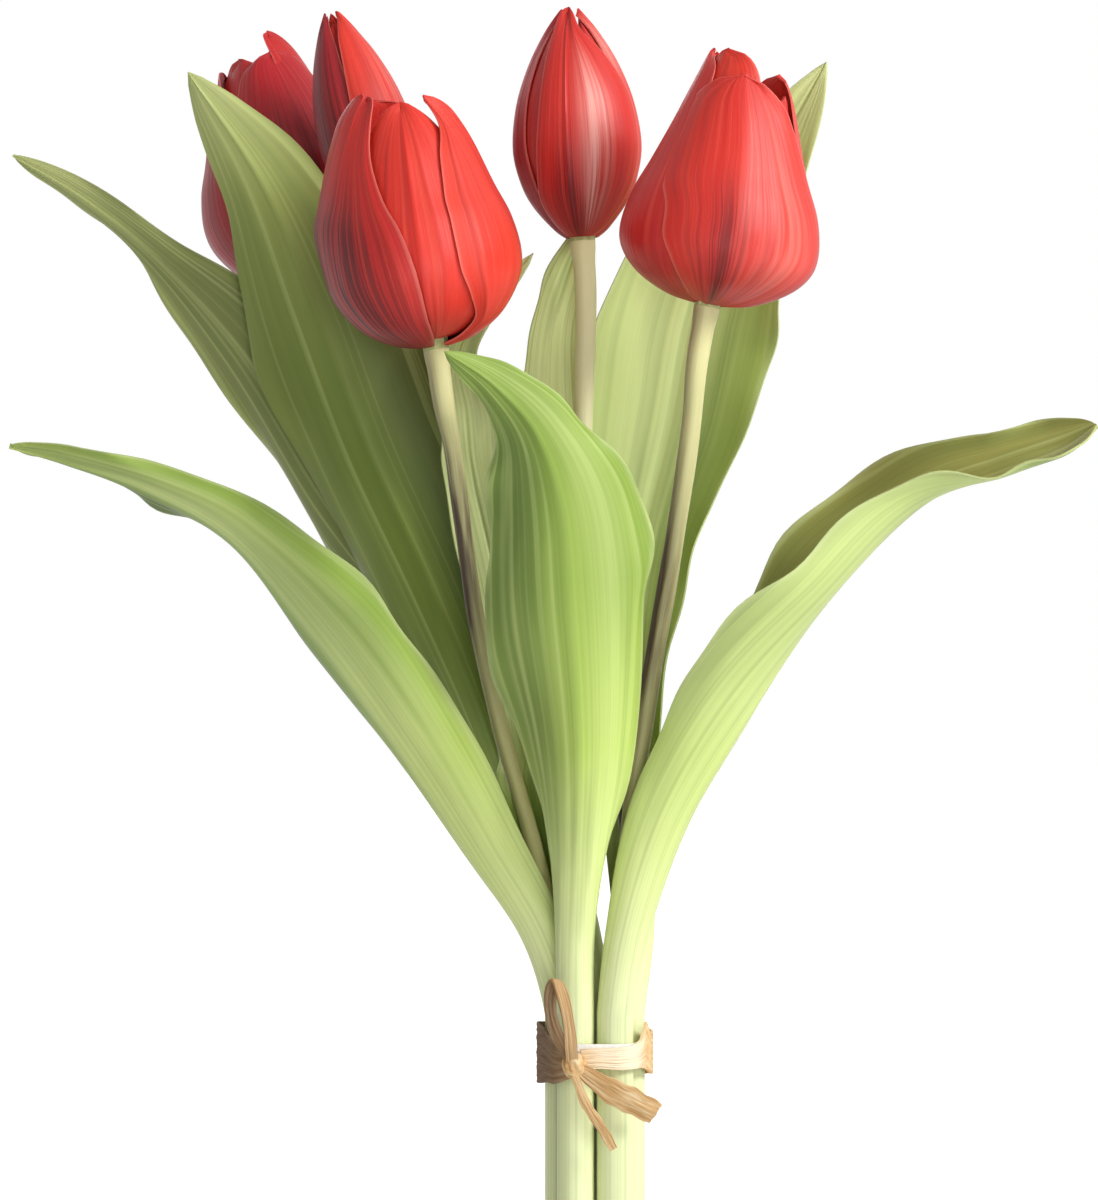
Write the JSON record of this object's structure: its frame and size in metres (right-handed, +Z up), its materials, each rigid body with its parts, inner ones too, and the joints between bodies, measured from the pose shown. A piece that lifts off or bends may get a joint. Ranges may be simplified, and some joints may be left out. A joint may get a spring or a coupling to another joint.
{
  "type": "artificial tulip bunch",
  "caption": "Bunch of artificial tulips: cupped blooms and closed buds on wired stems inside long rolled leaves, held by a raffia tie.",
  "frame": {"origin": "axis of the bunch at the cut ends of its stalks, where a vase's floor meets them", "axes": "+Z up along the straight stalks, -Y towards the viewer of the picture"},
  "size_m": [0.2706, 0.1477, 0.3929],
  "materials": {
    "petal": "satin, ribbed lengthwise",
    "leaf": "satin, with parallel veins",
    "stem": "matte",
    "core": "matte",
    "wire": "drawn",
    "raffia": "dry, papery fibre",
    "elastic": "matte"
  },
  "bodies": {
    "tie": {"elastic_band": "elastic", "raffia_band": "raffia", "raffia_knot": "raffia", "raffia_loop": "raffia", "raffia_broad_tail": "raffia", "raffia_narrow_tail": "raffia"},
    "left_bloom": {"left_bloom_stem": "stem", "left_bloom_wire": "wire", "left_bloom_leaf": "leaf", "left_bloom_upper_leaf": "leaf"},
    "left_bloom_head": {"left_bloom_core": "core", "left_bloom_outer_petal_1": "petal", "left_bloom_outer_petal_2": "petal", "left_bloom_outer_petal_3": "petal", "left_bloom_inner_petal_1": "petal", "left_bloom_inner_petal_2": "petal", "left_bloom_inner_petal_3": "petal"},
    "right_bloom": {"right_bloom_stem": "stem", "right_bloom_wire": "wire", "right_bloom_leaf": "leaf"},
    "right_bloom_head": {"right_bloom_core": "core", "right_bloom_outer_petal_1": "petal", "right_bloom_outer_petal_2": "petal", "right_bloom_outer_petal_3": "petal", "right_bloom_inner_petal_1": "petal", "right_bloom_inner_petal_2": "petal", "right_bloom_inner_petal_3": "petal"},
    "centre_bud": {"centre_bud_stem": "stem", "centre_bud_wire": "wire", "centre_bud_leaf": "leaf", "centre_bud_upper_leaf": "leaf"},
    "centre_bud_head": {"centre_bud_core": "core", "centre_bud_outer_petal_1": "petal", "centre_bud_outer_petal_2": "petal", "centre_bud_outer_petal_3": "petal", "centre_bud_inner_petal_1": "petal", "centre_bud_inner_petal_2": "petal", "centre_bud_inner_petal_3": "petal"},
    "back_bloom": {"back_bloom_stem": "stem", "back_bloom_wire": "wire", "back_bloom_leaf": "leaf", "back_bloom_upper_leaf": "leaf"},
    "back_bloom_head": {"back_bloom_core": "core", "back_bloom_outer_petal_1": "petal", "back_bloom_outer_petal_2": "petal", "back_bloom_outer_petal_3": "petal", "back_bloom_inner_petal_1": "petal", "back_bloom_inner_petal_2": "petal", "back_bloom_inner_petal_3": "petal"},
    "back_bud": {"back_bud_stem": "stem", "back_bud_wire": "wire", "back_bud_leaf": "leaf"},
    "back_bud_head": {"back_bud_core": "core", "back_bud_outer_petal_1": "petal", "back_bud_outer_petal_2": "petal", "back_bud_outer_petal_3": "petal", "back_bud_inner_petal_1": "petal", "back_bud_inner_petal_2": "petal", "back_bud_inner_petal_3": "petal"}
  },
  "joints": [
    {"name": "left_bloom_draw", "type": "slide", "parent": "tie", "child": "left_bloom", "axis": [0, 0, 1], "range_m": [0, 0.02]},
    {"name": "left_bloom_turn", "type": "hinge", "parent": "left_bloom", "child": "left_bloom_head", "pos_m": [-0.03913, -0.02592, 0.3032], "axis": [-0.1419, -0.0473, 0.9887], "continuous": true},
    {"name": "right_bloom_draw", "type": "slide", "parent": "tie", "child": "right_bloom", "axis": [0, 0, 1], "range_m": [0, 0.02]},
    {"name": "right_bloom_turn", "type": "hinge", "parent": "right_bloom", "child": "right_bloom_head", "pos_m": [0.0272, -0.02414, 0.3137], "axis": [0.1715, -0.0318, 0.9847], "continuous": true},
    {"name": "centre_bud_draw", "type": "slide", "parent": "tie", "child": "centre_bud", "axis": [0, 0, 1], "range_m": [0, 0.02]},
    {"name": "centre_bud_turn", "type": "hinge", "parent": "centre_bud", "child": "centre_bud_head", "pos_m": [-0.003, 0.01186, 0.3323], "axis": [-0.0559, 0.0169, 0.9983], "continuous": true},
    {"name": "back_bloom_draw", "type": "slide", "parent": "tie", "child": "back_bloom", "axis": [0, 0, 1], "range_m": [0, 0.02]},
    {"name": "back_bloom_turn", "type": "hinge", "parent": "back_bloom", "child": "back_bloom_head", "pos_m": [-0.0735, 0.06614, 0.3237], "axis": [-0.2347, 0.0626, 0.9701], "continuous": true},
    {"name": "back_bud_draw", "type": "slide", "parent": "tie", "child": "back_bud", "axis": [0, 0, 1], "range_m": [0, 0.02]},
    {"name": "back_bud_turn", "type": "hinge", "parent": "back_bud", "child": "back_bud_head", "pos_m": [-0.05117, 0.03058, 0.336], "axis": [-0.2775, 0.0514, 0.9593], "continuous": true}
  ]
}
